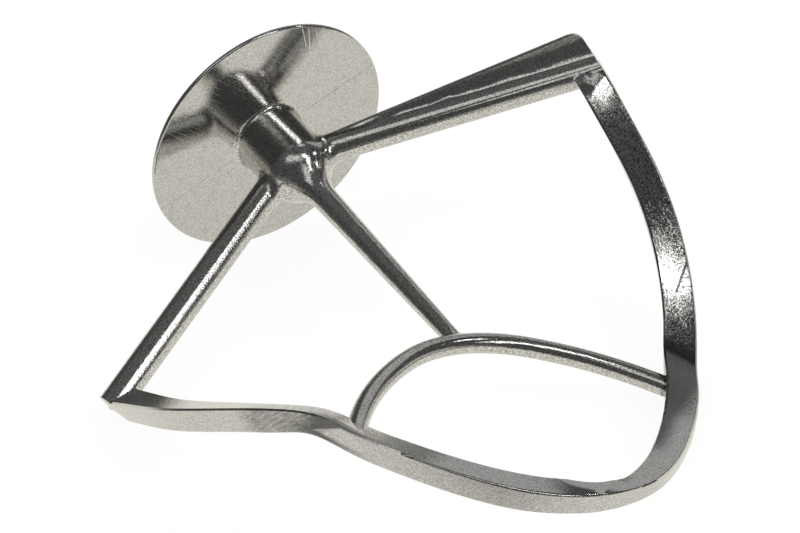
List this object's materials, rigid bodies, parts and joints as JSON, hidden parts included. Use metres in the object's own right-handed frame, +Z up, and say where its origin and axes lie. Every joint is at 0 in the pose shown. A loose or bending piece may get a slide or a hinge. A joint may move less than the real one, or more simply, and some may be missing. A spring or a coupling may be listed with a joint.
{
  "type": "stand mixer beater",
  "caption": "One-piece cast beater for a kitchen stand mixer: a hub with splash disc and drive socket, sloping finned arms, a centre rod with an arch, and a helically turned outer band.",
  "frame": {"origin": "On the drive axis, at the middle of the splash disc's thickness, inside the drive socket's span", "axes": "+Z runs up the drive shaft out of the socket's mouth, the two arms lie along X, and the beater hangs down along -Z"},
  "size_m": [0.1494, 0.0745, 0.1754],
  "materials": {
    "polished_cast_aluminium": "burnished die casting: bright on the rods, hub and disc, satin on the band's outer face, with fine pits and scratches"
  },
  "bodies": {
    "root": {"beater": "polished_cast_aluminium"}
  },
  "joints": []
}
